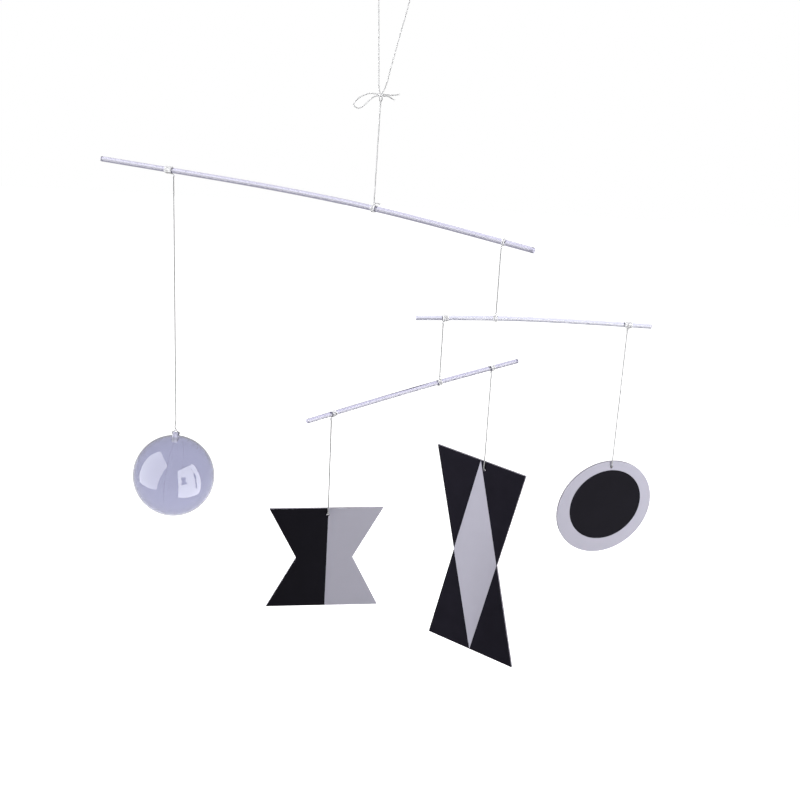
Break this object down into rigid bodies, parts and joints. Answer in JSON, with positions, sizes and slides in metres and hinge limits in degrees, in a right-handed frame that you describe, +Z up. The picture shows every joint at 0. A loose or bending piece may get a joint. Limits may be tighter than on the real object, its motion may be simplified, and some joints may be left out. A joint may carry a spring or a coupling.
{
  "type": "baby mobile",
  "caption": "Hanging mobile for a baby: clear rods, one below another on white thread, carry a clear hollow ball and flat black and white cards.",
  "frame": {"origin": "the crown of the thread loop by which the mobile hangs, on the thread's centre line", "axes": "+Z up along the hanging thread; +X to the right and +Y away from someone who faces the cards as in the picture"},
  "size_m": [0.534, 0.2961, 0.6547],
  "materials": {
    "white_thread": "matt near-white cotton thread",
    "clear_rod": "clear cast acrylic rod, polished, faintly lilac grey against a white wall",
    "clear_shell": "clear thin moulded plastic, glossy",
    "black_board": "smooth matt-laminated black board with white printed fields"
  },
  "bodies": {
    "root": {"ball_eyelet_knot": "white_thread", "ball_eyelet_loop": "white_thread", "ball_left_half": "clear_shell", "ball_right_half": "clear_shell", "ball_string": "white_thread", "ball_string_knot": "white_thread", "ball_string_winding": "white_thread", "bow_knot": "white_thread", "bow_loop": "white_thread", "bow_tail_lower": "white_thread", "bow_tail_upper": "white_thread", "bow_tie_card": "black_board", "bow_tie_card_end_knot": "white_thread", "bow_tie_card_string": "white_thread", "bow_tie_card_string_knot": "white_thread", "bow_tie_card_string_winding": "white_thread", "disc_card": "black_board", "disc_card_end_knot": "white_thread", "disc_card_string": "white_thread", "disc_card_string_knot": "white_thread", "disc_card_string_winding": "white_thread", "hanging_loop": "white_thread", "long_card": "black_board", "long_card_end_knot": "white_thread", "long_card_string": "white_thread", "long_card_string_knot": "white_thread", "long_card_string_winding": "white_thread", "lower_rod": "clear_rod", "lower_rod_hub_knot": "white_thread", "lower_rod_hub_winding": "white_thread", "lower_rod_string": "white_thread", "lower_rod_string_knot": "white_thread", "lower_rod_string_winding": "white_thread", "main_thread_left": "white_thread", "main_thread_right": "white_thread", "main_thread_tail": "white_thread", "middle_rod": "clear_rod", "middle_rod_hub_knot": "white_thread", "middle_rod_hub_winding": "white_thread", "middle_rod_string": "white_thread", "middle_rod_string_knot": "white_thread", "middle_rod_string_winding": "white_thread", "top_hub_knot": "white_thread", "top_hub_winding": "white_thread", "top_rod": "clear_rod"}
  },
  "joints": []
}
